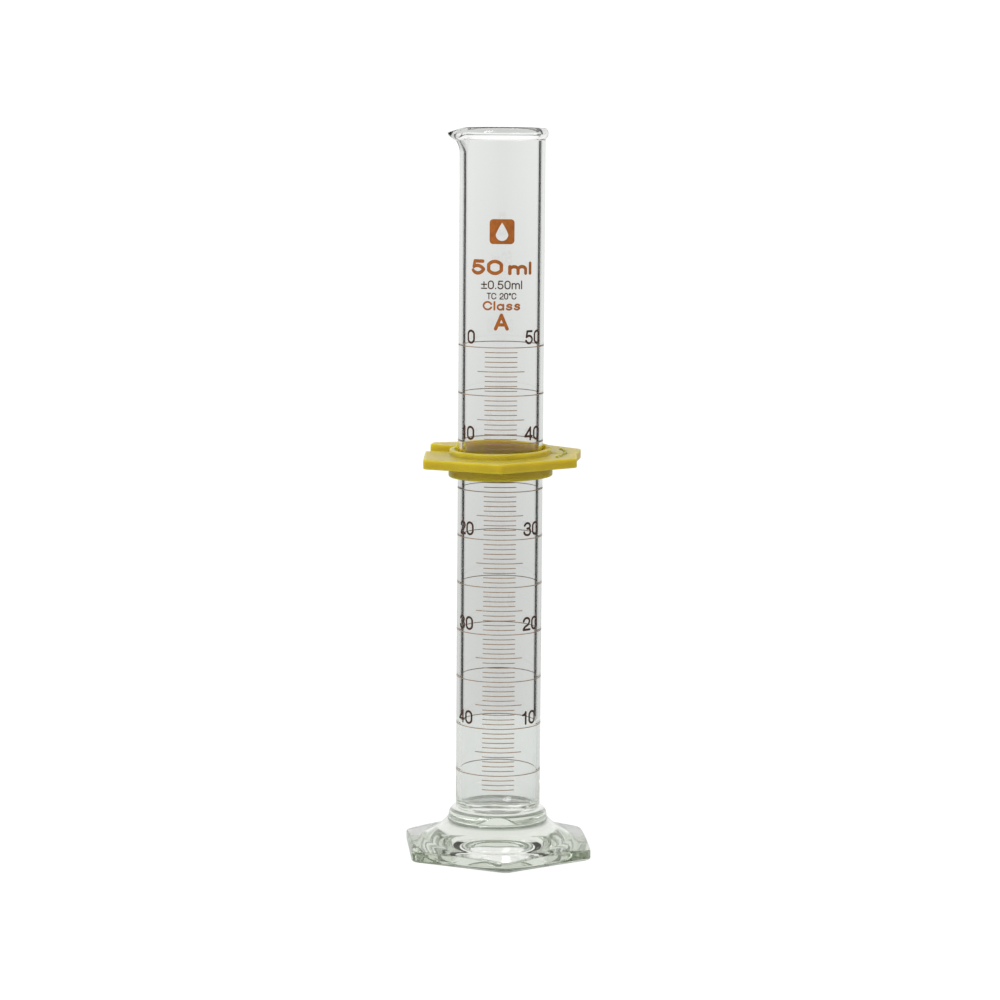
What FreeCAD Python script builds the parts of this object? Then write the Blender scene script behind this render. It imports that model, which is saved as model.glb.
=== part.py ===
"""Fifty millilitre graduated cylinder: glass tube, fused hexagonal foot, sliding bumper guard, fired print.

Millimetres. +Z is up, the origin is at the centre of the underside of the foot, the printed scale faces
-Y and the pouring spout points to -X. Every driving size is a cell of the sheet called Sizes.
"""

import FreeCAD, Part

import math
import os
import Sketcher

Vector = FreeCAD.Vector
doc = FreeCAD.newDocument("GraduatedCylinder")
sheet = doc.addObject("Spreadsheet::Sheet", "Sizes")

DRIVING_SIZES = {
    # glass tube
    "total_height": 206.0,
    "tube_radius": 12.0,
    "wall": 1.14,
    "floor_thickness": 1.6,
    "floor_corner": 8.0,
    "bead_height": 3.0,
    "bead_depth": 0.8,
    "mouth_rounding": 0.55,
    # pouring spout
    "spout_reach": 3.3,
    "spout_height": 7.0,
    "spout_dip": 1.2,
    "spout_radius": 4.3,
    "spout_wall": 1.0,
    # glass foot, from the plate up to the neck that takes the tube
    "foot_corner_radius": 29.4,
    "foot_thickness": 2.9,
    "foot_rounding": 3.0,
    "foot_edge_rounding": 0.7,
    "foot_turn": 4.8,
    "plate_rise": 1.4,
    "flare_rise": 5.6,
    "flare_share": 0.748,
    "flare_radius": 15.6,
    "neck_height": 3.0,
    "neck_flare": 2.0,
    "neck_radius": 2.6,
    "seat_depth": 6.2,
    "recess_share": 0.663,
    "recess_depth": 1.3,
    # bumper guard
    "guard_level": 112.15,
    "guard_corner_radius": 24.8,
    "guard_rounding": 1.3,
    "flange_thickness": 2.7,
    "guard_clearance": 0.9,
    "collar_wall": 1.85,
    "collar_height": 3.5,
    "lip_wall": 1.5,
    "lip_height": 1.5,
    "slit_offset": 8.0,
    "slit_width": 1.0,
    "guard_turn": 4.5,
    "flex_turn": 4.0,
    "flex_lift": 1.1,
    "guard_lean": 0.6,
    "hinge_overlap": 2.0,
    "stud_radius": 0.45,
    "stud_height": 0.35,
    "stud_share": 0.742,
    "stud_spacing": 7.5,
    # fired print
    "print_thickness": 0.05,
    "line_width": 0.24,
    "short_mark_chord": 9.1,
    "mid_mark_chord": 13.1,
}
for row, (alias, number) in enumerate(DRIVING_SIZES.items(), start=1):
    sheet.set(f"A{row}", alias)
    sheet.set(f"B{row}", str(number))
    sheet.setAlias(f"B{row}", alias)
doc.recompute()

CAPACITY_ML = 50
RING_STEP_ML = 5
MARKS_PER_RING_STEP = 10
LOWEST_MARK_ML = 3.5
MM3_PER_ML = 1000.0

BORE = "(Sizes.tube_radius - Sizes.wall)"
PLATE_TOP = "(Sizes.foot_thickness + Sizes.plate_rise)"
FLARE_TOP = f"({PLATE_TOP} + Sizes.flare_rise)"
NECK_TOP = f"({FLARE_TOP} + Sizes.neck_height)"
SEAT = f"({NECK_TOP} - Sizes.seat_depth)"
FLOOR = f"({SEAT} + Sizes.floor_thickness)"
NECK_SIDE = "(Sizes.tube_radius + Sizes.neck_flare)"
FLARE_END = "(Sizes.foot_corner_radius * Sizes.flare_share)"
RECESS = "(Sizes.foot_corner_radius * Sizes.recess_share)"
GUARD_BORE = "(Sizes.tube_radius + Sizes.guard_clearance)"
COLLAR_SIDE = f"({GUARD_BORE} + Sizes.collar_wall)"
LIP_SIDE = f"({GUARD_BORE} + Sizes.lip_wall)"
LIP_TOP = "(Sizes.flange_thickness + Sizes.lip_height)"
STUDS = 9
PAST = "2"


def size(expression):
    """Number that an expression of the sheet stands for now."""
    number = sheet.evalExpression(expression)
    return float(getattr(number, "Value", number))


def bind(item, **expressions):
    """Bind properties to expressions; a double underscore in a name stands for a dot."""
    for name, expression in expressions.items():
        item.setExpression(name.replace("__", "."), expression)
    return item


def add(kind, name, **expressions):
    return bind(doc.addObject(kind, name), **expressions)


# ---------------------------------------------------------------- sketches
def sketch_on(body, role, name, level=None):
    """Sketch on one of the body's own origin planes, lifted to a level if one is given."""
    sketch = body.newObject("Sketcher::SketchObject", name)
    plane = next(item for item in body.Origin.OriginFeatures if item.Role == role)
    sketch.AttachmentSupport = [(plane, "")]
    sketch.MapMode = "FlatFace"
    if level:
        sketch.setExpression("AttachmentOffset.Base.z", level)
    return sketch


def pin(sketch, geometry, point, across, up):
    """Hold one point of a sketch at two expressions, on an axis where the value is zero."""
    for kind, axis, expression in (("DistanceX", -2, across), ("DistanceY", -1, up)):
        value = size(expression)
        if abs(value) < 1e-9:
            sketch.addConstraint(Sketcher.Constraint("PointOnObject", geometry, point, axis))
            continue
        index = sketch.addConstraint(Sketcher.Constraint(kind, geometry, point, value))
        sketch.setExpression(f"Constraints[{index}]", expression)


def arc_between(start, end, radius, turn):
    """Arc from start to end, turning left when turn is positive and right when it is negative."""
    chord = end - start
    middle = (start + end) * 0.5
    left = Vector(-chord.y, chord.x, 0).normalize()
    centre = middle + left * turn * math.sqrt(radius**2 - (chord.Length / 2) ** 2)
    first, last = (start, end) if turn > 0 else (end, start)
    angles = [math.atan2(point.y - centre.y, point.x - centre.x) for point in (first, last)]
    return Part.ArcOfCircle(Part.Circle(centre, Vector(0, 0, 1), radius), *angles)


def outline(sketch, steps):
    """Closed outline. A step is (across, up) for a line to there or (across, up, radius, turn) for an arc."""
    places = [Vector(size(step[0]), size(step[1]), 0) for step in steps]
    ends = []
    for index, step in enumerate(steps):
        start, end = places[index - 1], places[index]
        if len(step) == 2:
            geometry = sketch.addGeometry(Part.LineSegment(start, end))
            ends.append((geometry, 1, 2))
            continue
        radius, turn = step[2:]
        geometry = sketch.addGeometry(arc_between(start, end, size(radius), turn))
        ends.append((geometry, 1, 2) if turn > 0 else (geometry, 2, 1))
        constraint = sketch.addConstraint(Sketcher.Constraint("Radius", geometry, size(radius)))
        sketch.setExpression(f"Constraints[{constraint}]", radius)
    for (geometry, _, last), (following, first, _) in zip(ends, ends[1:] + ends[:1]):
        sketch.addConstraint(Sketcher.Constraint("Coincident", geometry, last, following, first))
    for (geometry, _, last), step in zip(ends, steps):
        pin(sketch, geometry, last, step[0], step[1])
    return sketch


def hexagon(sketch, corner_radius, turn="0"):
    """Regular hexagon whose first corner points to -Y and then turns by the given angle."""
    angles = [f"({turn} + {60 * corner - 90})" for corner in range(6)]
    return outline(sketch, [(f"{corner_radius} * cos({a})", f"{corner_radius} * sin({a})") for a in angles])


def circle(sketch, across, radius):
    geometry = sketch.addGeometry(Part.Circle(Vector(size(across), 0, 0), Vector(0, 0, 1), size(radius)))
    pin(sketch, geometry, 3, across, "0")
    index = sketch.addConstraint(Sketcher.Constraint("Radius", geometry, size(radius)))
    sketch.setExpression(f"Constraints[{index}]", radius)
    return sketch


# ---------------------------------------------------------------- body features
def turned(body, kind, name, steps):
    """Revolution or Groove of an outline of (radius, height) steps about the Z axis."""
    sketch = outline(sketch_on(body, "XZ_Plane", name + "_outline"), steps)
    feature = body.newObject("PartDesign::" + kind, name)
    feature.Profile = sketch
    feature.ReferenceAxis = (sketch, ["V_Axis"])
    feature.Angle = 360
    before = volume_so_far(body, feature)
    doc.recompute()
    assert (feature.Shape.Volume > before) == (kind == "Revolution"), f"{name} changed nothing"
    return feature


def volume_so_far(body, feature):
    base = getattr(feature, "BaseFeature", None)
    return base.Shape.Volume if base else 0.0


def padded(body, name, sketch, length):
    pad = body.newObject("PartDesign::Pad", name)
    pad.Profile = sketch
    bind(pad, Length=length)
    doc.recompute()
    return pad


def edge_names(shape, wanted):
    return [f"Edge{number}" for number, edge in enumerate(shape.Edges, start=1) if wanted(edge)]


def is_upright(edge):
    start, end = edge.Vertexes[0].Point, edge.Vertexes[-1].Point
    return len(edge.Vertexes) == 2 and math.hypot(end.x - start.x, end.y - start.y) < 1e-6


def filleted(body, name, base, wanted, radius):
    fillet = body.newObject("PartDesign::Fillet", name)
    fillet.Base = (base, edge_names(base.Shape, wanted))
    bind(fillet, Radius=radius)
    doc.recompute()
    return fillet


# ---------------------------------------------------------------- glass tube
SPOUT_STEPS = (0.0, 0.3, 0.65, 1.0)
SPOUT_STEPS_PAST_THE_RIM = SPOUT_STEPS + (1.4,)
SPOUT_START_SHARE = 0.5


def spout_loft(body, kind, name, steps, inset):
    """Loft through circles that widen and reach out as they climb; inset makes the channel inside."""
    sections = []
    for number, step in enumerate(steps):
        level = f"Sizes.total_height - Sizes.spout_dip - Sizes.spout_height * {1 - step}"
        share = SPOUT_START_SHARE + (1 - SPOUT_START_SHARE) * step
        radius = f"(Sizes.spout_radius * {share})"
        reach = f"(Sizes.tube_radius + Sizes.spout_reach * {step**2})"
        sketch = sketch_on(body, "XY_Plane", f"{name}_section_{number}", level)
        sections.append(circle(sketch, f"{radius} - {reach}", f"{radius} - {inset}"))
    loft = body.newObject("PartDesign::" + kind, name)
    loft.Profile = sections[0]
    loft.Sections = sections[1:]
    doc.recompute()
    return loft


def glass_tube():
    body = doc.addObject("PartDesign::Body", "glass_tube")
    bead_radius = "((Sizes.bead_height / 2)^2 + Sizes.bead_depth^2) / (2 * Sizes.bead_depth)"
    rim = "Sizes.total_height"
    blank = [
        ("0", SEAT),
        ("Sizes.tube_radius", SEAT),
        ("Sizes.tube_radius", f"{rim} - Sizes.bead_height"),
        ("Sizes.tube_radius", rim, bead_radius, 1),
        ("0", rim),
    ]
    turned(body, "Revolution", "tube_blank", blank)
    spout_loft(body, "AdditiveLoft", "spout_skin", SPOUT_STEPS, "0")
    mouth = f"({BORE} + Sizes.mouth_rounding)"
    hollow = [
        ("0", FLOOR),
        (f"{BORE} - Sizes.floor_corner", FLOOR),
        (BORE, f"{FLOOR} + Sizes.floor_corner", "Sizes.floor_corner", 1),
        (BORE, f"{rim} - Sizes.mouth_rounding"),
        (mouth, rim, "Sizes.mouth_rounding", -1),
        (mouth, f"{rim} + {PAST}"),
        ("0", f"{rim} + {PAST}"),
    ]
    turned(body, "Groove", "bore", hollow)
    spout_loft(body, "SubtractiveLoft", "spout_channel", SPOUT_STEPS_PAST_THE_RIM, "Sizes.spout_wall")
    return body


# ---------------------------------------------------------------- glass foot
def hex_foot():
    body = doc.addObject("PartDesign::Body", "hex_foot")
    plane = sketch_on(body, "XY_Plane", "foot_hexagon")
    block = padded(body, "foot_block", hexagon(plane, "Sizes.foot_corner_radius", "Sizes.foot_turn"), NECK_TOP)
    block = filleted(body, "foot_corners", block, is_upright, "Sizes.foot_rounding")
    corner = "Sizes.foot_corner_radius"
    above_the_foot = [
        (NECK_SIDE, FLARE_TOP, "Sizes.neck_radius", -1),
        (FLARE_END, PLATE_TOP, "Sizes.flare_radius", 1),
        (corner, "Sizes.foot_thickness"),
        (f"{corner} + {PAST}", "Sizes.foot_thickness"),
        (f"{corner} + {PAST}", f"{NECK_TOP} + {PAST}"),
        ("Sizes.tube_radius", f"{NECK_TOP} + {PAST}"),
        ("Sizes.tube_radius", NECK_TOP),
    ]
    flared = turned(body, "Groove", "foot_flare", above_the_foot)
    filleted(body, "foot_edges", flared, is_plate_edge, "Sizes.foot_edge_rounding")
    socket = [
        ("0", SEAT),
        ("Sizes.tube_radius", SEAT),
        ("Sizes.tube_radius", f"{NECK_TOP} + {PAST}"),
        ("0", f"{NECK_TOP} + {PAST}"),
    ]
    turned(body, "Groove", "tube_socket", socket)
    dome = f"({RECESS}^2 + Sizes.recess_depth^2) / (2 * Sizes.recess_depth)"
    recess = [("0", "0"), (RECESS, "0"), ("0", "Sizes.recess_depth", dome, 1)]
    turned(body, "Groove", "underside_recess", recess)
    return body


def is_plate_edge(edge):
    """Edge of the hexagonal plate that bounds its top or its underside."""
    box = edge.BoundBox
    far_out = min(math.hypot(v.X, v.Y) for v in edge.Vertexes) > size(FLARE_END)
    low = box.ZMax < size(PLATE_TOP)
    return far_out and low and not is_upright(edge)


# ---------------------------------------------------------------- bumper guard
def guard_blank():
    """Flat guard: hexagonal flange, collar below, lip above, bored for the tube and slit on one side."""
    body = doc.addObject("PartDesign::Body", "guard_blank")
    sketch = hexagon(sketch_on(body, "XY_Plane", "flange_hexagon"), "Sizes.guard_corner_radius")
    flange = padded(body, "flange", sketch, "Sizes.flange_thickness")
    flange = filleted(body, "flange_corners", flange, is_upright, "Sizes.guard_rounding")
    sleeve = [
        (GUARD_BORE, "-Sizes.collar_height"),
        (COLLAR_SIDE, "-Sizes.collar_height"),
        (COLLAR_SIDE, "Sizes.flange_thickness / 2"),
        (LIP_SIDE, "Sizes.flange_thickness / 2"),
        (LIP_SIDE, LIP_TOP),
        (GUARD_BORE, LIP_TOP),
    ]
    turned(body, "Revolution", "collar_and_lip", sleeve)
    bore = [
        ("0", f"-Sizes.collar_height - {PAST}"),
        (GUARD_BORE, f"-Sizes.collar_height - {PAST}"),
        (GUARD_BORE, f"{LIP_TOP} + {PAST}"),
        ("0", f"{LIP_TOP} + {PAST}"),
    ]
    turned(body, "Groove", "guard_bore", bore)
    return body


def keep_box(name, left, right, front, back):
    """Box that keeps one stretch of the flat guard, given by its four sides."""
    box = add("Part::Box", name, Length=f"{right} - {left}", Width=f"{back} - {front}")
    bind(box, Height=f"Sizes.collar_height + {LIP_TOP} + 2 * {PAST}")
    bind(box, Placement__Base__x=left, Placement__Base__y=front)
    return bind(box, Placement__Base__z=f"-Sizes.collar_height - {PAST}")


def fused(name, shapes):
    fuse = doc.addObject("Part::MultiFuse", name)
    fuse.Shapes = shapes
    return fuse


def common(name, base, tool):
    both = doc.addObject("Part::Common", name)
    both.Base = base
    both.Tool = tool
    return both


def studs():
    """Row of small plain studs on the right of the flange."""
    circle_radius = "(Sizes.guard_corner_radius * Sizes.stud_share)"
    row = []
    for number in range(STUDS):
        angle = f"({number - (STUDS - 1) / 2} * Sizes.stud_spacing)"
        stud = add("Part::Cylinder", f"stud_{number}", Radius="Sizes.stud_radius")
        bind(stud, Height="Sizes.stud_height + Sizes.flange_thickness / 2")
        bind(stud, Placement__Base__x=f"{circle_radius} * cos({angle})")
        bind(stud, Placement__Base__y=f"{circle_radius} * sin({angle})")
        row.append(bind(stud, Placement__Base__z="Sizes.flange_thickness / 2"))
    return row


def placed_half(half, side):
    """Turn and lift one half about the right side of the ring, where the split guard flexes."""
    hinge = Vector(size("Sizes.guard_corner_radius * cos(30)"), 0, size("Sizes.flange_thickness"))
    turn = size(f"-Sizes.guard_turn - {side} * Sizes.flex_turn")
    lift = size(f"{side} * Sizes.flex_lift")
    about_z = FreeCAD.Placement(Vector(0, 0, 0), FreeCAD.Rotation(Vector(0, 0, 1), turn))
    about_y = FreeCAD.Placement(Vector(0, 0, 0), FreeCAD.Rotation(Vector(0, 1, 0), lift), hinge)
    about_x = FreeCAD.Placement(Vector(0, 0, 0), FreeCAD.Rotation(Vector(1, 0, 0), size("Sizes.guard_lean")))
    up = FreeCAD.Placement(Vector(0, 0, size("Sizes.guard_level")), FreeCAD.Rotation())
    half.Placement = up * about_x * about_y * about_z
    return half


def bumper_guard():
    """Split guard, flexed open: its front half sits low on the left and its rear half sits high there."""
    blank = fused("guard_flat", [guard_blank()] + studs())
    reach = "(2 * Sizes.guard_corner_radius)"
    front = fused(
        "front_stretch",
        [
            keep_box("front_left", f"-{reach}", "0", f"-{reach}", "Sizes.slit_offset"),
            keep_box("front_right", "0", reach, f"-{reach}", "Sizes.hinge_overlap"),
        ],
    )
    rear_start = "(Sizes.slit_offset + Sizes.slit_width)"
    rear = fused(
        "rear_stretch",
        [
            keep_box("rear_left", f"-{reach}", "0", rear_start, reach),
            keep_box("rear_right", "0", reach, "-Sizes.hinge_overlap", reach),
        ],
    )
    halves = [
        placed_half(common("front_half", blank, front), -1),
        placed_half(common("rear_half", blank, rear), 1),
    ]
    return fused("bumper_guard", halves)


# ---------------------------------------------------------------- fired print
def level_of(millilitres):
    """Expression of the height at which the bore holds a volume, its rounded floor corner allowed for."""
    corner = "Sizes.floor_corner"
    flat = f"({BORE} - {corner})"
    rounded = f"({flat}^2 * {corner} + {flat} * pi * {corner}^2 / 2 + 2 * {corner}^3 / 3)"
    lost = f"({BORE}^2 * {corner} - {rounded})"
    return f"({FLOOR} + {lost} / {BORE}^2 + {millilitres * MM3_PER_ML} / (pi * {BORE}^2))"


def print_skin():
    """Thin tube that every printed line and letter is cut from."""
    outer = add("Part::Cylinder", "skin_outside", Radius="Sizes.tube_radius + Sizes.print_thickness")
    inner = add("Part::Cylinder", "skin_inside", Radius="Sizes.tube_radius")
    height = f"Sizes.total_height - Sizes.bead_height - {NECK_TOP}"
    for cylinder in (outer, inner):
        bind(cylinder, Placement__Base__z=NECK_TOP, Height=height)
    skin = doc.addObject("Part::Cut", "print_skin")
    skin.Base = outer
    skin.Tool = inner
    return skin


def line_box(name, millilitres, chord, whole_ring):
    """Flat box that cuts one line out of the print skin: all round, or only across the front."""
    box = add("Part::Box", name, Length=chord, Height="Sizes.line_width")
    depth = "2 * Sizes.tube_radius + 2 * Sizes.print_thickness"
    bind(box, Width=depth if whole_ring else "Sizes.tube_radius")
    bind(box, Placement__Base__x=f"-{chord} / 2")
    bind(box, Placement__Base__y="-Sizes.tube_radius - Sizes.print_thickness")
    return bind(box, Placement__Base__z=f"{level_of(millilitres)} - Sizes.line_width / 2")


def lines(name, skin, volumes, chord, whole_ring=False):
    boxes = doc.addObject("Part::Compound", name + "_levels")
    boxes.Links = [line_box(f"{name}_{number}", v, chord, whole_ring) for number, v in enumerate(volumes)]
    return common(name, skin, boxes)


def graduations(skin):
    step = RING_STEP_ML / MARKS_PER_RING_STEP
    count = round((CAPACITY_ML - LOWEST_MARK_ML) / step) + 1
    volumes = [LOWEST_MARK_ML + step * number for number in range(count)]
    rings = [v for v in volumes if v % RING_STEP_ML == 0]
    mids = [v for v in volumes if v % RING_STEP_ML == RING_STEP_ML / 2]
    shorts = [v for v in volumes if v not in rings and v not in mids]
    ring_chord = "(2 * Sizes.tube_radius + 2 * Sizes.print_thickness)"
    return [
        lines("graduation_rings", skin, rings, ring_chord, whole_ring=True),
        lines("mid_marks", skin, mids, "Sizes.mid_mark_chord"),
        lines("short_marks", skin, shorts, "Sizes.short_mark_chord"),
    ]


# A glyph is a list of strokes in a box one unit tall. A stroke is a start point and then either points for
# straight runs or (through, end) pairs for arcs. The first number is the width of the glyph.
def oval(left, right, bottom, top):
    """Closed upright oval: two half circles joined by straight sides, or an ellipse-like pair of arcs."""
    middle = (left + right) / 2
    round_end = (right - left) / 2
    return [
        (left, bottom + round_end),
        (left, top - round_end),
        ((middle, top), (right, top - round_end)),
        (right, bottom + round_end),
        ((middle, bottom), (left, bottom + round_end)),
    ]


GLYPHS = {
    "0": (0.60, [oval(0.03, 0.57, 0.0, 1.0)]),
    "1": (0.42, [[(0.04, 0.76), ((0.2, 0.84), (0.28, 1.0)), (0.28, 0.0)]]),
    "2": (
        0.60,
        [
            [
                (0.04, 0.72),
                ((0.3, 1.0), (0.56, 0.72)),
                ((0.48, 0.5), (0.3, 0.34)),
                ((0.1, 0.18), (0.03, 0.0)),
                (0.58, 0.0),
            ]
        ],
    ),
    "3": (
        0.60,
        [
            [(0.05, 0.8), ((0.3, 1.0), (0.53, 0.76)), ((0.46, 0.58), (0.27, 0.54))],
            [(0.27, 0.54), ((0.56, 0.27), (0.28, 0.0)), ((0.1, 0.06), (0.02, 0.24))],
        ],
    ),
    "4": (0.62, [[(0.62, 0.27), (0.02, 0.27), (0.47, 1.0)], [(0.47, 1.0), (0.47, 0.0)]]),
    "5": (
        0.60,
        [[(0.52, 1.0), (0.13, 1.0), (0.07, 0.52), ((0.3, 0.62), (0.56, 0.34)), ((0.32, 0.0), (0.03, 0.22))]],
    ),
    "m": (
        0.92,
        [
            [(0.05, 0.0), (0.05, 0.68)],
            [(0.05, 0.45), ((0.26, 0.68), (0.46, 0.45)), (0.46, 0.0)],
            [(0.46, 0.45), ((0.67, 0.68), (0.87, 0.45)), (0.87, 0.0)],
        ],
    ),
    "l": (0.12, [[(0.06, 0.0), (0.06, 1.0)]]),
    "A": (0.78, [[(0.02, 0.0), (0.39, 1.0), (0.76, 0.0)], [(0.14, 0.3), (0.64, 0.3)]]),
    "T": (0.66, [[(0.02, 1.0), (0.64, 1.0)], [(0.33, 1.0), (0.33, 0.0)]]),
    "C": (0.74, [[(0.7, 0.72), ((0.38, 1.0), (0.04, 0.5)), ((0.38, 0.0), (0.7, 0.28))]]),
    "a": (0.56, [oval(0.04, 0.5, 0.0, 0.66), [(0.5, 0.66), (0.5, 0.0)]]),
    "s": (
        0.50,
        [
            [
                (0.44, 0.56),
                ((0.24, 0.68), (0.08, 0.5)),
                ((0.16, 0.38), (0.26, 0.34)),
                ((0.4, 0.29), (0.44, 0.16)),
                ((0.25, 0.0), (0.04, 0.12)),
            ]
        ],
    ),
    ".": (0.14, [[(0.07, 0.02), (0.07, 0.06)]]),
    "±": (0.66, [[(0.33, 0.22), (0.33, 0.88)], [(0.02, 0.55), (0.64, 0.55)], [(0.02, 0.02), (0.64, 0.02)]]),
    "°": (0.36, [oval(0.05, 0.31, 0.72, 0.99)]),
    " ": (0.30, []),
}
LETTER_GAP = 0.16
BLOCK_DEPTH = 2.0


def straight_face(start, end, weight):
    """Flat face of one straight stroke with round ends."""
    along = (end - start).normalize() * (weight / 2)
    side = Vector(-along.y, along.x, 0)
    edges = [
        Part.LineSegment(start + side, end + side).toShape(),
        Part.Arc(end + side, end + along, end - side).toShape(),
        Part.LineSegment(end - side, start - side).toShape(),
        Part.Arc(start - side, start - along, start + side).toShape(),
    ]
    return Part.Face(Part.Wire(edges))


def stroke_face(stroke, width, height, weight):
    """Flat face, in the XY plane, of one stroke with round ends and corners."""
    points = [Vector(stroke[0][0] * width, stroke[0][1] * height, 0)]
    edges = []
    for step in stroke[1:]:
        through, end = step if isinstance(step[0], tuple) else (None, step)
        end = Vector(end[0] * width, end[1] * height, 0)
        if through:
            middle = Vector(through[0] * width, through[1] * height, 0)
            edges.append(Part.Arc(points[-1], middle, end).toShape())
        else:
            edges.append(Part.LineSegment(points[-1], end).toShape())
        points.append(end)
    if len(edges) == 1 and not through:
        return straight_face(points[0], points[1], weight)
    wire = Part.Wire(edges)
    if wire.isClosed():
        outside, inside = (wire.makeOffset2D(side * weight / 2) for side in (1, -1))
        return Part.Face(outside).cut(Part.Face(inside))
    return Part.Face(wire.makeOffset2D(weight / 2, 0, False, False))


def glyph_blocks(character, width, height, weight, angle, level):
    """Blocks of one character that cross the print skin at an angle from the front and a base level."""
    across, strokes = GLYPHS[character]
    radius = size("Sizes.tube_radius")
    faces = [stroke_face(stroke, width, height, weight) for stroke in strokes]
    blocks = []
    for face in faces:
        face.translate(Vector(-across * width / 2, 0, 0))
        face.rotate(Vector(0, 0, 0), Vector(1, 0, 0), 90)
        face.translate(Vector(0, -radius - BLOCK_DEPTH / 2, level))
        block = face.extrude(Vector(0, BLOCK_DEPTH, 0))
        block.rotate(Vector(0, 0, 0), Vector(0, 0, 1), math.degrees(angle))
        blocks.append(block)
    return blocks


def text_blocks(text, look, level, angle=0.0, anchor=0.5):
    """Blocks of a line of text wrapped round the tube.

    A look is (height, sideways stretch, stroke weight). The anchor is the share of the line that comes
    before the angle: 0 starts the line there, 0.5 centres it and 1 ends it there.
    """
    height, stretch, weight = look
    radius = size("Sizes.tube_radius")
    widths = [GLYPHS[character][0] * height * stretch for character in text]
    gap = LETTER_GAP * height * stretch
    start = -anchor * (sum(widths) + gap * (len(text) - 1))
    blocks = []
    for character, width in zip(text, widths):
        centre = math.radians(angle) + (start + width / 2) / radius
        blocks += glyph_blocks(character, height * stretch, height, weight, centre, level)
        start += width + gap
    return blocks


def printed(name, skin, blocks):
    """Print node made by cutting its blocks out of the print skin."""
    feature = doc.addObject("Part::Feature", name + "_blocks")
    feature.Shape = blocks[0].multiFuse(blocks[1:]) if len(blocks) > 1 else blocks[0]
    return common(name, skin, feature)


# Looks of the lettering, each as (height, sideways stretch, stroke weight).
NUMERAL_LOOK = (3.35, 1.25, 0.62)
CAPACITY_LOOK = (3.3, 2.0, 0.98)
UNIT_LOOK = (2.75, 2.1, 0.95)
TOLERANCE_LOOK = (2.1, 1.22, 0.34)
TEMPERATURE_LOOK = (1.57, 1.06, 0.28)
CLASS_WORD_LOOK = (2.1, 1.65, 0.52)
CLASS_LETTER_LOOK = (3.8, 1.15, 0.95)
# Heights of the lettering above the ring of the full capacity, and of the numerals above their own rings.
LETTER_RISE = 5.3
WORD_RISE = 10.65
TEMPERATURE_RISE = 13.6
TOLERANCE_RISE = 16.45
CAPACITY_RISE = 20.7
DROPLET_RISE = 28.8
NUMERAL_RISE = 1.15
# Angles from the front at which a line of text starts or ends.
CAPACITY_START = -42.5
UNIT_END = 42.5
RISING_END = -38.5
FALLING_START = 34.5
# Droplet mark: its square, and the drop's widest level, shoulders and tip as shares of the square.
DROPLET_SIDE = 6.9
DROPLET_ROUNDING = 1.03
DROP_MIDDLE_SHARE = 0.38
DROP_SHOULDER_LEVEL = 0.6
DROP_SHOULDER_SHARE = 0.62
DROP_TIP_SHARE = 0.86


def numerals(name, skin, pairs, angle, anchor):
    blocks = []
    for label, millilitres in pairs:
        level = size(level_of(millilitres)) + NUMERAL_RISE
        blocks += text_blocks(str(label), NUMERAL_LOOK, level, angle, anchor)
    return printed(name, skin, blocks)


def droplet_blocks(level):
    """Plain pictogram: a rounded square with a drop left clear in it."""
    half = DROPLET_SIDE / 2
    belly = DROPLET_SIDE / 4
    shoulder = belly * DROP_SHOULDER_SHARE
    front = -size("Sizes.tube_radius") - BLOCK_DEPTH / 2
    square = Part.makeBox(DROPLET_SIDE, BLOCK_DEPTH, DROPLET_SIDE, Vector(-half, front, level))
    corners = [edge for edge in square.Edges if edge.BoundBox.YLength > BLOCK_DEPTH / 2]
    square = square.makeFillet(DROPLET_ROUNDING, corners)
    middle = level + DROPLET_SIDE * DROP_MIDDLE_SHARE
    shoulder_level = level + DROPLET_SIDE * DROP_SHOULDER_LEVEL
    tip = Vector(0, front, level + DROPLET_SIDE * DROP_TIP_SHARE)
    left = Vector(-belly, front, middle)
    right = Vector(belly, front, middle)
    curves = [
        Part.Arc(left, Vector(0, front, middle - belly), right),
        Part.Arc(right, Vector(shoulder, front, shoulder_level), tip),
        Part.Arc(tip, Vector(-shoulder, front, shoulder_level), left),
    ]
    drop = Part.Face(Part.Wire([curve.toShape() for curve in curves]))
    return [square.cut(drop.extrude(Vector(0, BLOCK_DEPTH, 0)))]


def labels(skin):
    """Markings above the scale, and the numbers beside it."""
    top_ring = size(level_of(CAPACITY_ML))
    capacity_level = top_ring + CAPACITY_RISE
    capacity = text_blocks(str(CAPACITY_ML), CAPACITY_LOOK, capacity_level, CAPACITY_START, anchor=0)
    capacity += text_blocks("ml", UNIT_LOOK, capacity_level, UNIT_END, anchor=1)
    blocks = {
        "droplet_mark": droplet_blocks(top_ring + DROPLET_RISE),
        "capacity_text": capacity,
        "tolerance_text": text_blocks("±0.50ml", TOLERANCE_LOOK, top_ring + TOLERANCE_RISE),
        "temperature_text": text_blocks("TC 20°C", TEMPERATURE_LOOK, top_ring + TEMPERATURE_RISE),
        "class_word": text_blocks("Class", CLASS_WORD_LOOK, top_ring + WORD_RISE),
        "class_letter": text_blocks("A", CLASS_LETTER_LOOK, top_ring + LETTER_RISE),
    }
    decades = range(10, CAPACITY_ML + 1, 10)
    rising = [(CAPACITY_ML - v, v) for v in decades]
    falling = [(v, v) for v in decades]
    nodes = [printed(name, skin, parts) for name, parts in blocks.items()]
    nodes.append(numerals("ascending_numerals", skin, rising, RISING_END, anchor=1))
    nodes.append(numerals("descending_numerals", skin, falling, FALLING_START, anchor=0))
    return nodes


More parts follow.
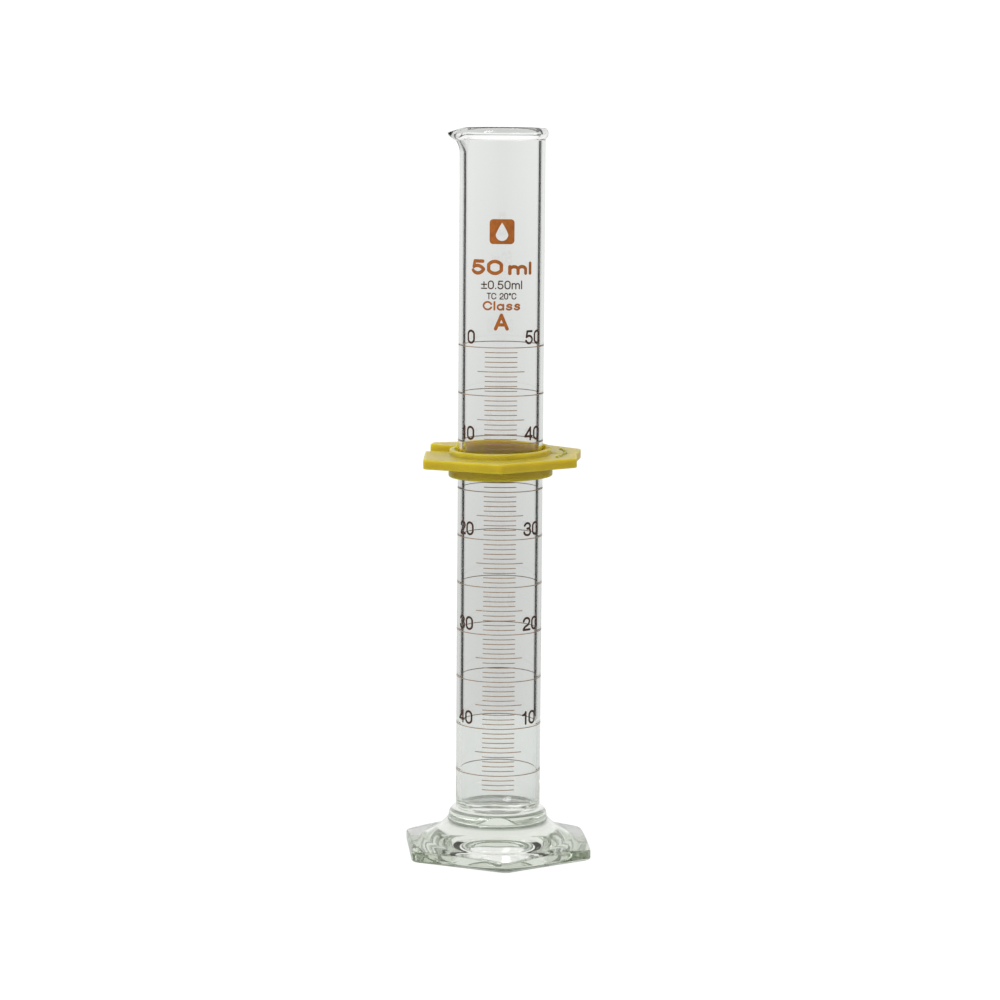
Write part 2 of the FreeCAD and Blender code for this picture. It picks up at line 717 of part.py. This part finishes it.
# ---------------------------------------------------------------- check and write
def write(nodes):
    """Check every object of the document, then write one file for each node."""
    doc.recompute()
    for item in doc.Objects:
        assert not {"Invalid", "Error"} & set(item.State), f"{item.Name} failed: {item.State}"
    os.makedirs("parts", exist_ok=True)
    for node in nodes:
        shape = node.Shape
        assert not shape.isNull() and shape.isValid() and shape.Solids, f"{node.Name} has no valid solid"
        node.Label = node.Name
        shape.exportStep(f"parts/{node.Label}.step")
        print(f"{node.Label}: {len(shape.Solids)} solids, {shape.Volume:.2f} mm3")


skin = print_skin()
write([glass_tube(), hex_foot(), bumper_guard()] + graduations(skin) + labels(skin))
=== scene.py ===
"""Looks of the fifty millilitre graduated cylinder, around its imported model.

Metres, in the model's own frame: +Z is up, the printed scale faces -Y and the pouring spout points to -X.
"""

import math

import bmesh
import bpy
from mathutils import Matrix, Vector


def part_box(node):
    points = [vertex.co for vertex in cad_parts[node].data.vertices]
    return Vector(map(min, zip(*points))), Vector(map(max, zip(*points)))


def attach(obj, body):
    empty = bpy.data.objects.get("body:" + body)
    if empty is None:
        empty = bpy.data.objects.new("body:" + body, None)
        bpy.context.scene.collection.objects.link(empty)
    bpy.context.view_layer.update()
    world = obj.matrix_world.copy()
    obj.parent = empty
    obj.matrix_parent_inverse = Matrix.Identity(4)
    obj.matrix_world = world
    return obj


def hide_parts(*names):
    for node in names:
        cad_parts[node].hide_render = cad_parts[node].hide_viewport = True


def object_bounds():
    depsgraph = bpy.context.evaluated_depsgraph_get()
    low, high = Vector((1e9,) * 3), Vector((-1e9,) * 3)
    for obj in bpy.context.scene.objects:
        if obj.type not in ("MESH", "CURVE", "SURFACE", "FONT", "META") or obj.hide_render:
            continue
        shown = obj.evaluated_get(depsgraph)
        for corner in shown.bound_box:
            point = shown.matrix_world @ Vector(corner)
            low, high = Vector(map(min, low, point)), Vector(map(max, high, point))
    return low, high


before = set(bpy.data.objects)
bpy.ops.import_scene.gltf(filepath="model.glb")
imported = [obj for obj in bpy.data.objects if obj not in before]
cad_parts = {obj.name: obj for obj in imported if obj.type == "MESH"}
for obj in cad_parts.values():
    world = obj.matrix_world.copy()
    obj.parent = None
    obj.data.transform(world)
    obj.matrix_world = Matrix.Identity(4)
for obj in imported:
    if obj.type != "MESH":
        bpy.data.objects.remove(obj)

MM = 0.001
CAD_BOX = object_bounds()
TUBE_LOW, TUBE_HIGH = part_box("glass_tube")
FOOT_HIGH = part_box("hex_foot")[1]

# glass tube
RIM = TUBE_HIGH.z
BEAD_DEPTH = 0.8 * MM
BEAD_HEIGHT = 3.0 * MM
TUBE_RADIUS = TUBE_HIGH.y - BEAD_DEPTH
WALL = 1.14 * MM
BORE = TUBE_RADIUS - WALL
MOUTH_ROUNDING = 0.55 * MM
FLOOR_LEVEL = TUBE_LOW.z + 1.6 * MM
FLOOR_CORNER = 8.0 * MM
# pouring spout
SPOUT_REACH = -TUBE_LOW.x - TUBE_RADIUS
SPOUT_HEIGHT = 7.5 * MM
SPOUT_DIP = 1.4 * MM
SPOUT_HALF_ANGLE = math.radians(34)
# glass foot
FOOT_CORNER_RADIUS = 29.4 * MM
FOOT_ROUNDING = 3.0 * MM
FOOT_TURN = math.radians(4.8)
FOOT_THICKNESS = 2.9 * MM
EDGE_ROUNDING = 0.7 * MM
PLATE_TOP = FOOT_THICKNESS + 1.4 * MM
NECK_TOP = FOOT_HIGH.z
FLARE_TOP = NECK_TOP - 3.0 * MM
NECK_SIDE = TUBE_RADIUS + 2.0 * MM
NECK_RADIUS = 2.6 * MM
FLARE_END = 22.0 * MM
FLARE_RADIUS = 15.6 * MM
RECESS_RADIUS = 19.5 * MM
RECESS_DEPTH = 1.3 * MM
# bumper guard, measured from the underside of its flange
GUARD_LEVEL = 112.15 * MM
GUARD_CORNER_RADIUS = 24.8 * MM
GUARD_ROUNDING = 1.3 * MM
FLANGE = 2.7 * MM
COLLAR_RADIUS = 14.75 * MM
COLLAR_HEIGHT = 3.5 * MM
LIP_RADIUS = 14.4 * MM
LIP_HEIGHT = 1.5 * MM
GUARD_BORE = TUBE_RADIUS + 0.9 * MM
GUARD_EDGE = 0.3 * MM
SLIT_OFFSET = 8.0 * MM
SLIT_WIDTH = 1.0 * MM
GUARD_TURN = math.radians(4.5)
FLEX_TURN = math.radians(4.0)
FLEX_LIFT = math.radians(1.1)
GUARD_LEAN = math.radians(0.6)
HINGE_HALF_ANGLE = math.radians(5)
STUDS = 9
STUD_SPACING = 7.5
STUD_CIRCLE = 18.4 * MM
STUD_RADIUS = 0.5 * MM

COLUMNS = 360
STUD_COLUMNS = 24
JOINING_DISTANCE = 0.001 * MM

# stage: floor, room and camera
FLOOR_GAP = 0.05 * MM
FLOOR_RADIUS = 200 * MM
FLOOR_CORNERS = 96
FLOOR_WHITENESS = 0.8
FLOOR_WHITE = 1.14
SEEN_WHITE = 1.05
CEILING = 1.02
CEILING_STARTS = 0.02
CEILING_IS_FULL = 0.08
LOW_WALLS = 0.8
LOW_WALLS_START = -0.03
LOW_WALLS_ARE_FULL = -0.15
BOTH_WALLS_CROSSED = 3.5
WALL_TINT = (0.985, 1.0, 0.98)
GLASS_TURNS = 48
LENS = 116.77
SENSOR = 36
CAMERA_PLACE = (0, -911.4 * MM, 220.85 * MM)
CAMERA_TILT = math.radians(90 - 7.481)
CAMERA_ROLL = math.radians(0.444)


# ---------------------------------------------------------------- outlines and meshes
def arc(centre, radius, start, end, steps):
    """Points of a round stretch, from one angle in degrees to another, both ends included."""
    angles = [math.radians(start + (end - start) * step / steps) for step in range(steps + 1)]
    return [(centre[0] + radius * math.cos(a), centre[1] + radius * math.sin(a)) for a in angles]


def arc_between(start, end, radius, turn, steps):
    """Round stretch between two points, turning left when turn is 1 and right when it is -1."""
    start, end = Vector(start), Vector(end)
    chord = end - start
    left = Vector((-chord.y, chord.x)).normalized()
    centre = (start + end) / 2 + left * turn * math.sqrt(radius**2 - chord.length_squared / 4)
    first = math.atan2(start.y - centre.y, start.x - centre.x)
    sweep = 2 * turn * math.asin(chord.length / 2 / radius)
    return arc(centre, radius, math.degrees(first), math.degrees(first + sweep), steps)


def straight(start, end, steps):
    """Points of a straight stretch, without its two ends."""
    start, end = Vector(start), Vector(end)
    return [tuple(start.lerp(end, step / steps)) for step in range(1, steps)]


def hexagon_radius(angle, corner_radius, rounding):
    """Distance from the axis to a hexagon with rounded corners, one of which points to -Y."""
    off_corner = abs((angle + math.radians(120)) % math.radians(60) - math.radians(30))
    centre = corner_radius - rounding / math.sin(math.radians(60))
    tangent = math.atan2(rounding / 2, centre + rounding * math.cos(math.radians(30)))
    if off_corner < tangent:
        across = centre * math.sin(off_corner)
        return centre * math.cos(off_corner) + math.sqrt(rounding**2 - across**2)
    return corner_radius * math.cos(math.radians(30)) / math.cos(math.radians(30) - off_corner)


def turned(profile, steps):
    """Columns of an outline of (radius, height) points that is turned about the Z axis."""
    angles = [2 * math.pi * step / steps for step in range(steps)]
    return [[(r * math.cos(a), r * math.sin(a), height) for r, height in profile] for a in angles]


def shell(columns, closed):
    """Points and faces of a surface over a row of columns of points.

    A closed row joins its last column to its first, and its columns start and end on an axis.
    In an open row each column is a loop, and the two outer ones are capped.
    """
    rows = len(columns[0])
    points = [point for column in columns for point in column]
    faces = []
    for number in range(len(columns) if closed else len(columns) - 1):
        this = number * rows
        other = (number + 1) % len(columns) * rows
        for row in range(rows - 1 if closed else rows):
            above = (row + 1) % rows
            faces.append((this + row, other + row, other + above, this + above))
    if not closed:
        faces.append(tuple(reversed(range(rows))))
        faces.append(tuple(range(len(points) - rows, len(points))))
    return points, faces


def made(name, shells, material, sharp_above):
    """Object made of shells, with doubled points joined, faces turned outwards and only sharp edges sharp."""
    points = []
    faces = []
    for shell_points, shell_faces in shells:
        faces += [tuple(corner + len(points) for corner in face) for face in shell_faces]
        points += shell_points
    mesh = bpy.data.meshes.new(name)
    mesh.from_pydata(points, [], faces)
    shape = bmesh.new()
    shape.from_mesh(mesh)
    bmesh.ops.remove_doubles(shape, verts=shape.verts, dist=JOINING_DISTANCE)
    bmesh.ops.dissolve_degenerate(shape, edges=shape.edges, dist=JOINING_DISTANCE)
    bmesh.ops.recalc_face_normals(shape, faces=shape.faces)
    shape.to_mesh(mesh)
    shape.free()
    mesh.shade_smooth()
    mesh.set_sharp_from_angle(angle=math.radians(sharp_above))
    mesh.materials.append(material)
    piece = bpy.data.objects.new(name, mesh)
    bpy.context.scene.collection.objects.link(piece)
    return piece


# ---------------------------------------------------------------- glassware
def spouted(angle, radius, height):
    """A point of the tube's wall, drawn out and down where the rim is pulled into the pouring spout."""
    off = abs((angle + 2 * math.pi) % (2 * math.pi) - math.pi)
    climb = min(max((height - RIM + SPOUT_HEIGHT) / SPOUT_HEIGHT, 0.0), 1.0)
    if off > SPOUT_HALF_ANGLE or climb == 0:
        return radius, height
    pull = math.cos(off / SPOUT_HALF_ANGLE * math.pi / 2) ** 2 * climb**2
    return radius + SPOUT_REACH * pull, height - SPOUT_DIP * pull


def foot_profile(angle):
    """Outline of the foot at one angle, from the middle of its underside up to the neck."""
    side = hexagon_radius(angle - FOOT_TURN, FOOT_CORNER_RADIUS, FOOT_ROUNDING)
    slope = (PLATE_TOP - FOOT_THICKNESS) / (FOOT_CORNER_RADIUS - FLARE_END)
    edge_top = FOOT_THICKNESS + (FOOT_CORNER_RADIUS - side) * slope
    dome = (RECESS_RADIUS**2 + RECESS_DEPTH**2) / (2 * RECESS_DEPTH)
    inner = side - EDGE_ROUNDING
    points = arc_between((0, RECESS_DEPTH), (RECESS_RADIUS, 0), dome, -1, 24)
    points += straight((RECESS_RADIUS, 0), (inner, 0), 6)
    points += arc((inner, EDGE_ROUNDING), EDGE_ROUNDING, -90, 0, 6)
    points += arc((inner, edge_top - EDGE_ROUNDING), EDGE_ROUNDING, 0, 80, 6)
    points += straight(points[-1], (FLARE_END, PLATE_TOP), 8)
    points += arc_between((FLARE_END, PLATE_TOP), (NECK_SIDE, FLARE_TOP), FLARE_RADIUS, -1, 20)
    points += arc_between((NECK_SIDE, FLARE_TOP), (TUBE_RADIUS, NECK_TOP), NECK_RADIUS, 1, 12)
    return points


def tube_profile(angle):
    """Outline of the tube at one angle, up the outside, over the rim, down the bore and across its floor."""
    bead_radius = ((BEAD_HEIGHT / 2) ** 2 + BEAD_DEPTH**2) / (2 * BEAD_DEPTH)
    spout_foot = RIM - SPOUT_HEIGHT
    bead_foot = RIM - BEAD_HEIGHT
    outside = straight((TUBE_RADIUS, NECK_TOP), (TUBE_RADIUS, spout_foot), 24)
    outside += straight((TUBE_RADIUS, spout_foot), (TUBE_RADIUS, bead_foot), 10)
    outside += arc_between((TUBE_RADIUS, bead_foot), (TUBE_RADIUS, RIM), bead_radius, 1, 16)
    mouth = BORE + MOUTH_ROUNDING
    inside = arc((mouth, RIM - MOUTH_ROUNDING), MOUTH_ROUNDING, 90, 180, 8)
    inside += straight((BORE, RIM - MOUTH_ROUNDING), (BORE, spout_foot), 12)
    inside += straight((BORE, spout_foot), (BORE, FLOOR_LEVEL + FLOOR_CORNER), 24)
    corner = (BORE - FLOOR_CORNER, FLOOR_LEVEL + FLOOR_CORNER)
    inside += arc(corner, FLOOR_CORNER, 0, -90, 12)
    inside += straight((BORE - FLOOR_CORNER, FLOOR_LEVEL), (0, FLOOR_LEVEL), 6)
    inside.append((0, FLOOR_LEVEL))
    return [spouted(angle, *point) for point in outside + inside]


def glassware(material):
    """Tube and foot as the one piece of glass that they are, so that light crosses no seam between them."""
    columns = []
    for number in range(COLUMNS):
        angle = 2 * math.pi * number / COLUMNS
        along, across = math.cos(angle), math.sin(angle)
        profile = foot_profile(angle) + tube_profile(angle)
        columns.append([(radius * along, radius * across, height) for radius, height in profile])
    piece = made("glassware", [shell(columns, closed=True)], material, sharp_above=60)
    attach(piece, "glass")
    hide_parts("glass_tube", "hex_foot")
    return piece


# ---------------------------------------------------------------- bumper guard
def guard_profile(angle):
    """Closed outline of the guard at one angle, with every edge softly rounded."""
    side = hexagon_radius(angle, GUARD_CORNER_RADIUS, GUARD_ROUNDING)
    soft = GUARD_EDGE
    lip_top = FLANGE + LIP_HEIGHT
    points = arc((GUARD_BORE + soft, soft - COLLAR_HEIGHT), soft, 180, 270, 4)
    points += arc((COLLAR_RADIUS - soft, soft - COLLAR_HEIGHT), soft, -90, 0, 4)
    points += arc((COLLAR_RADIUS + soft, -soft), soft, 180, 90, 4)
    points += straight((COLLAR_RADIUS + soft, 0), (side - soft, 0), 5)
    points += arc((side - soft, soft), soft, -90, 0, 4)
    points += arc((side - soft, FLANGE - soft), soft, 0, 90, 4)
    points += straight((side - soft, FLANGE), (LIP_RADIUS + soft, FLANGE), 5)
    points += arc((LIP_RADIUS + soft, FLANGE + soft), soft, 270, 180, 4)
    points += arc((LIP_RADIUS - soft, lip_top - soft), soft, 0, 90, 4)
    points += arc((GUARD_BORE + soft, lip_top - soft), soft, 90, 180, 4)
    return points


def flexed(point, rear):
    """Where a point of the flat guard sits once its halves have turned and lifted about its right side."""
    hinge = Vector((GUARD_CORNER_RADIUS * math.cos(math.radians(30)), 0, FLANGE))
    turn = Matrix.Rotation(-GUARD_TURN - rear * FLEX_TURN, 3, "Z")
    lift = Matrix.Rotation(rear * FLEX_LIFT, 3, "Y")
    lean = Matrix.Rotation(GUARD_LEAN, 3, "X")
    return lean @ (lift @ (turn @ Vector(point) - hinge) + hinge) + Vector((0, 0, GUARD_LEVEL))


def guard_ring():
    """Split ring that is flexed open: its front half sits low at the slit and its rear half sits high."""
    slit_front = math.pi - math.asin(SLIT_OFFSET / GUARD_CORNER_RADIUS)
    slit_rear = math.pi - math.asin((SLIT_OFFSET + SLIT_WIDTH) / GUARD_CORNER_RADIUS)
    sweep = 2 * math.pi - (slit_front - slit_rear)
    columns = []
    for number in range(COLUMNS + 1):
        angle = slit_front + sweep * number / COLUMNS
        rear = min(max((angle - 2 * math.pi) / HINGE_HALF_ANGLE, -1.0), 1.0)
        along, across = math.cos(angle), math.sin(angle)
        loop = [(radius * along, radius * across, height) for radius, height in guard_profile(angle)]
        columns.append([flexed(point, rear) for point in loop])
    return shell(columns, closed=False)


def stud(number):
    """Plain dome on the right of the flange, sunk a little into it."""
    angle = math.radians((number - (STUDS - 1) / 2) * STUD_SPACING)
    middle = Vector((STUD_CIRCLE * math.cos(angle), STUD_CIRCLE * math.sin(angle), FLANGE - STUD_RADIUS / 4))
    rear = min(max(angle / HINGE_HALF_ANGLE, -1.0), 1.0)
    dome = [(0, -STUD_RADIUS)] + arc((0, 0), STUD_RADIUS, 0, 90, 8)
    flat = turned(dome, STUD_COLUMNS)
    columns = [[flexed(middle + Vector(point), rear) for point in column] for column in flat]
    return shell(columns, closed=True)


def bumper_guard(material):
    shells = [guard_ring()] + [stud(number) for number in range(STUDS)]
    piece = made("bumper_guard_ring", shells, material, sharp_above=50)
    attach(piece, "guard")
    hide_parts("bumper_guard")
    return piece


# ---------------------------------------------------------------- materials
def new_material(name):
    material = bpy.data.materials.new(name)
    material.use_nodes = True
    nodes, links = material.node_tree.nodes, material.node_tree.links
    return material, nodes, links, nodes["Principled BSDF"]


def noise(nodes, scale, detail, stretch=(1, 1, 1)):
    """Noise in the object's own coordinates, finer or coarser along each axis."""
    place = nodes.new("ShaderNodeTexCoord")
    mapping = nodes.new("ShaderNodeMapping")
    mapping.inputs["Scale"].default_value = stretch
    texture = nodes.new("ShaderNodeTexNoise")
    texture.inputs["Scale"].default_value = scale
    texture.inputs["Detail"].default_value = detail
    tree = texture.id_data
    tree.links.new(place.outputs["Object"], mapping.inputs["Vector"])
    tree.links.new(mapping.outputs["Vector"], texture.inputs["Vector"])
    return texture


def bumped(nodes, links, texture, shader, strength, distance):
    bump = nodes.new("ShaderNodeBump")
    bump.inputs["Strength"].default_value = strength
    bump.inputs["Distance"].default_value = distance
    links.new(texture.outputs["Fac"], bump.inputs["Height"])
    links.new(bump.outputs["Normal"], shader.inputs["Normal"])


def ramped(nodes, links, texture, low, high, socket):
    """Colour that wanders between two tones with the noise."""
    ramp = nodes.new("ShaderNodeValToRGB")
    ramp.color_ramp.elements[0].position = 0.35
    ramp.color_ramp.elements[0].color = (*low, 1)
    ramp.color_ramp.elements[1].position = 0.65
    ramp.color_ramp.elements[1].color = (*high, 1)
    links.new(texture.outputs["Fac"], ramp.inputs["Fac"])
    links.new(ramp.outputs["Color"], socket)


def clear_glass():
    """Borosilicate glass, with a faint green in its thickness and the slow waviness of a drawn tube."""
    material, nodes, links, shader = new_material("clear_glass")
    shader.inputs["Base Color"].default_value = (1, 1, 1, 1)
    shader.inputs["Roughness"].default_value = 0.0
    shader.inputs["IOR"].default_value = 1.473
    shader.inputs["Transmission Weight"].default_value = 1.0
    bumped(nodes, links, noise(nodes, 30, 0), shader, 1.0, 0.04 * MM)
    absorption = nodes.new("ShaderNodeVolumeAbsorption")
    absorption.inputs["Color"].default_value = (0.73, 0.765, 0.69, 1)
    absorption.inputs["Density"].default_value = 35
    links.new(absorption.outputs["Volume"], nodes["Material Output"].inputs["Volume"])
    return material


def fired_enamel(name, thin, thick):
    """Fired print, slightly uneven in colour and gloss."""
    material, nodes, links, shader = new_material(name)
    ramped(nodes, links, noise(nodes, 900, 3), thin, thick, shader.inputs["Base Color"])
    shader.inputs["Roughness"].default_value = 0.45
    shader.inputs["Specular IOR Level"].default_value = 0.25
    bumped(nodes, links, noise(nodes, 2500, 2), shader, 0.2, 0.02 * MM)
    return material


def yellow_polyethylene():
    """Translucent soft plastic with a waxy sheen and a fine moulded grain."""
    material, nodes, links, shader = new_material("yellow_polyethylene")
    mottling = noise(nodes, 140, 3)
    ramped(nodes, links, mottling, (0.37, 0.30, 0.005), (0.41, 0.335, 0.009), shader.inputs["Base Color"])
    shader.inputs["Roughness"].default_value = 0.36
    shader.inputs["IOR"].default_value = 1.5
    shader.inputs["Subsurface Weight"].default_value = 1.0
    shader.inputs["Subsurface Radius"].default_value = (1.0, 0.7, 0.1)
    shader.inputs["Subsurface Scale"].default_value = 8 * MM
    shader.inputs["Specular IOR Level"].default_value = 0.35
    bumped(nodes, links, noise(nodes, 1800, 2), shader, 0.25, 0.05 * MM)
    return material


def pale_floor():
    """Floor that is pale grey to light and in the glass, and mostly plain white where it is seen directly."""
    material, nodes, links, shader = new_material("pale_floor")
    clouds = noise(nodes, 3, 1)
    ramped(nodes, links, clouds, (0.56, 0.58, 0.56), (0.60, 0.62, 0.60), shader.inputs["Base Color"])
    shader.inputs["Roughness"].default_value = 0.9
    white = nodes.new("ShaderNodeEmission")
    seen = nodes.new("ShaderNodeLightPath")
    share = nodes.new("ShaderNodeMath")
    share.operation = "MULTIPLY"
    share.inputs[1].default_value = FLOOR_WHITENESS
    links.new(seen.outputs["Is Camera Ray"], share.inputs[0])
    either = nodes.new("ShaderNodeMixShader")
    links.new(share.outputs["Value"], either.inputs["Fac"])
    links.new(shader.outputs["BSDF"], either.inputs[1])
    links.new(white.outputs["Emission"], either.inputs[2])
    white.inputs["Strength"].default_value = FLOOR_WHITE
    links.new(either.outputs["Shader"], nodes["Material Output"].inputs["Surface"])
    return material


# ---------------------------------------------------------------- stage, light and camera
def floor_disc(material):
    """Round pale floor, centred on the object, past which the walls of the room show through the tube."""
    angles = [2 * math.pi * number / FLOOR_CORNERS for number in range(FLOOR_CORNERS)]
    mesh = bpy.data.meshes.new("floor")
    rim = [(FLOOR_RADIUS * math.cos(a), FLOOR_RADIUS * math.sin(a), -FLOOR_GAP) for a in angles]
    mesh.from_pydata(rim, [], [tuple(range(FLOOR_CORNERS))])
    mesh.materials.append(material)
    floor = bpy.data.objects.new("floor", mesh)
    bpy.context.scene.collection.objects.link(floor)


def soft_lamp(name, place, size, power):
    """Square lamp that faces the middle of the object."""
    data = bpy.data.lights.new(name, "AREA")
    data.size = size
    data.energy = power
    lamp = bpy.data.objects.new(name, data)
    lamp.location = place
    towards = (CAD_BOX[0] + CAD_BOX[1]) / 2 - Vector(place)
    lamp.rotation_euler = towards.to_track_quat("-Z", "Y").to_euler()
    bpy.context.scene.collection.objects.link(lamp)


# Brightness of the walls by degrees aside from straight behind the object, negative to the left. The first
# set is for light that has crossed both walls of the tube, and the second for all other light.
THROUGH_WALLS = {
    -180: 0.6,
    -90: 1.0,
    -34: 1.0,
    -33: 0.0,
    -14.5: 0.0,
    -14: 0.8,
    14: 0.8,
    14.5: 0.0,
    33: 0.0,
    34: 1.0,
    90: 1.0,
    180: 0.6,
}
OPEN_WALLS = {
    -180: 0.6,
    -90: 0.9,
    -66: 0.85,
    -64: 0.0,
    -43: 0.0,
    -42: 0.85,
    42: 0.85,
    43: 0.0,
    64: 0.0,
    66: 0.85,
    90: 0.9,
    180: 0.6,
}


def wall_ramp(nodes, links, share, walls):
    """Grey that depends on how far aside a direction points."""
    ramp = nodes.new("ShaderNodeValToRGB")
    elements = ramp.color_ramp.elements
    for degrees, grey in walls.items():
        if degrees == -180:
            element = elements[0]
        elif degrees == 180:
            element = elements[-1]
        else:
            element = elements.new((degrees + 180) / 360)
        element.color = (*(grey * tint for tint in WALL_TINT), 1)
    links.new(share.outputs["Result"], ramp.inputs["Fac"])
    return ramp


def surroundings():
    """White room with dark upright gaps to each side of the panel behind the object.

    Light that has crossed both walls of the tube meets the gaps that line the bore. Other light meets gaps
    further round, which keep the reflections over those lines dark. The camera sees plain white.
    """
    world = bpy.data.worlds.new("room")
    world.use_nodes = True
    bpy.context.scene.world = world
    nodes, links = world.node_tree.nodes, world.node_tree.links
    place = nodes.new("ShaderNodeTexCoord")
    parts = nodes.new("ShaderNodeSeparateXYZ")
    links.new(place.outputs["Generated"], parts.inputs["Vector"])
    aside = nodes.new("ShaderNodeMath")
    aside.operation = "ARCTAN2"
    links.new(parts.outputs["X"], aside.inputs[0])
    links.new(parts.outputs["Y"], aside.inputs[1])
    share = nodes.new("ShaderNodeMapRange")
    share.inputs["From Min"].default_value = -math.pi
    share.inputs["From Max"].default_value = math.pi
    links.new(aside.outputs["Value"], share.inputs["Value"])
    seen = nodes.new("ShaderNodeLightPath")
    through = nodes.new("ShaderNodeMath")
    through.operation = "GREATER_THAN"
    through.inputs[1].default_value = BOTH_WALLS_CROSSED
    links.new(seen.outputs["Transmission Depth"], through.inputs[0])
    walls = nodes.new("ShaderNodeMix")
    walls.data_type = "RGBA"
    links.new(through.outputs["Value"], walls.inputs["Factor"])
    links.new(wall_ramp(nodes, links, share, OPEN_WALLS).outputs["Color"], walls.inputs["A"])
    links.new(wall_ramp(nodes, links, share, THROUGH_WALLS).outputs["Color"], walls.inputs["B"])
    fading = nodes.new("ShaderNodeMapRange")
    fading.inputs["From Min"].default_value = LOW_WALLS_ARE_FULL
    fading.inputs["From Max"].default_value = LOW_WALLS_START
    fading.inputs["To Min"].default_value = LOW_WALLS
    links.new(parts.outputs["Z"], fading.inputs["Value"])
    faded = nodes.new("ShaderNodeVectorMath")
    faded.operation = "SCALE"
    links.new(walls.outputs["Result"], faded.inputs["Vector"])
    links.new(fading.outputs["Result"], faded.inputs["Scale"])
    above = nodes.new("ShaderNodeMapRange")
    above.inputs["From Min"].default_value = CEILING_STARTS
    above.inputs["From Max"].default_value = CEILING_IS_FULL
    links.new(parts.outputs["Z"], above.inputs["Value"])
    room = nodes.new("ShaderNodeMix")
    room.data_type = "RGBA"
    room.inputs["B"].default_value = (CEILING, CEILING, CEILING, 1)
    links.new(above.outputs["Result"], room.inputs["Factor"])
    links.new(faded.outputs["Vector"], room.inputs["A"])
    either = nodes.new("ShaderNodeMix")
    either.data_type = "RGBA"
    either.inputs["B"].default_value = (SEEN_WHITE, SEEN_WHITE, SEEN_WHITE, 1)
    links.new(seen.outputs["Is Camera Ray"], either.inputs["Factor"])
    links.new(room.outputs["Result"], either.inputs["A"])
    links.new(either.outputs["Result"], nodes["Background"].inputs["Color"])


def camera():
    """Camera a little above the rim, looking slightly down at the scale, and rolled by a hair."""
    data = bpy.data.cameras.new("camera")
    data.lens = LENS
    data.sensor_width = SENSOR
    data.clip_start = 10 * MM
    viewer = bpy.data.objects.new("camera", data)
    tilt = Matrix.Rotation(CAMERA_TILT, 4, "X")
    roll = Matrix.Rotation(CAMERA_ROLL, 4, "Z")
    viewer.matrix_world = Matrix.Translation(CAMERA_PLACE) @ tilt @ roll
    bpy.context.scene.collection.objects.link(viewer)
    bpy.context.scene.camera = viewer


def deep_light():
    """Let light turn inside the thick glass foot until it finds its way out again."""
    cycles = bpy.context.scene.cycles
    cycles.max_bounces = GLASS_TURNS
    cycles.glossy_bounces = GLASS_TURNS
    cycles.transmission_bounces = GLASS_TURNS


# ---------------------------------------------------------------- the object
FINE_PRINT = ("tolerance_text", "temperature_text")


def printed_lettering():
    """Print in three strengths: thin lines, dark numerals and fine print, and orange for the large labels."""
    line = fired_enamel("line_enamel", (0.32, 0.22, 0.15), (0.24, 0.16, 0.105))
    numeral = fired_enamel("numeral_enamel", (0.038, 0.014, 0.006), (0.058, 0.022, 0.010))
    label = fired_enamel("label_enamel", (0.29, 0.08, 0.009), (0.37, 0.108, 0.013))
    for name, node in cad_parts.items():
        if name in ("glass_tube", "hex_foot", "bumper_guard"):
            continue
        kind = name.split("_")[-1]
        if kind in ("rings", "marks"):
            node.material_slots[0].material = line
        elif kind == "numerals" or name in FINE_PRINT:
            node.material_slots[0].material = numeral
        else:
            node.material_slots[0].material = label


camera()
surroundings()
soft_lamp("key", (-0.6, -0.7, 0.9), 0.5, 6)
floor_disc(pale_floor())
deep_light()
glassware(clear_glass())
bumper_guard(yellow_polyethylene())
printed_lettering()
bpy.context.scene.view_settings.view_transform = "Standard"
